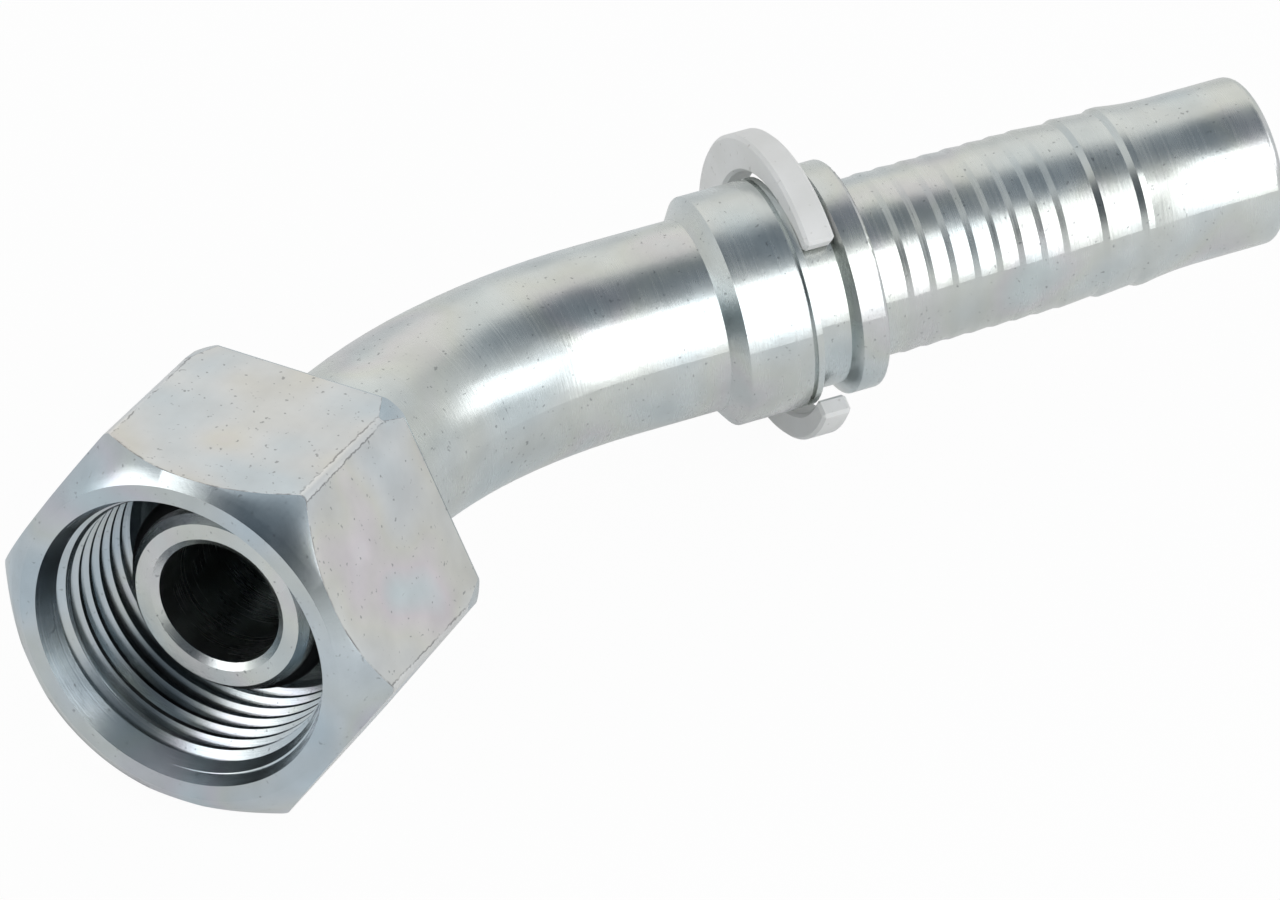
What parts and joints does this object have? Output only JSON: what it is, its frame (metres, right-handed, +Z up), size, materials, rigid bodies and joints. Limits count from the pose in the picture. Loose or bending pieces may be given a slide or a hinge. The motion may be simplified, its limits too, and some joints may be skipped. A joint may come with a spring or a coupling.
{
  "type": "hydraulic hose fitting",
  "caption": "Forty-five degree hydraulic hose fitting: a bent barbed stem with a sealed cone, a swivel nut and a split clip.",
  "frame": {"origin": "centre of the stem's bore where it begins, 0.35 mm behind the nose face, on the swivel axis", "axes": "+Z up as the fitting lies, on the rear rim of a flat of the nut and on the clip; the swivel axis lies in the XZ plane and points along +X out of the nut's mouth, tipped up 6.67 degrees; the hose tail points to -X and +Y"},
  "size_m": [0.0942, 0.0669, 0.0288],
  "materials": {
    "zinc_steel_nut": "bright zinc plate, satin on the hexagon",
    "zinc_steel_stem": "bright zinc plate over fine turning lines",
    "black_rubber": "smooth matt rubber",
    "white_nylon": "soft satin nylon"
  },
  "bodies": {
    "stem": {"elbow_stem": "zinc_steel_stem", "cone_seal_ring": "black_rubber", "split_clip": "white_nylon"},
    "nut": {"swivel_nut": "zinc_steel_nut"}
  },
  "joints": [
    {"name": "nut_swivel", "type": "hinge", "parent": "stem", "child": "nut", "pos_m": [0, 0, 0], "axis": [0.9932, 0, 0.1162], "continuous": true}
  ]
}
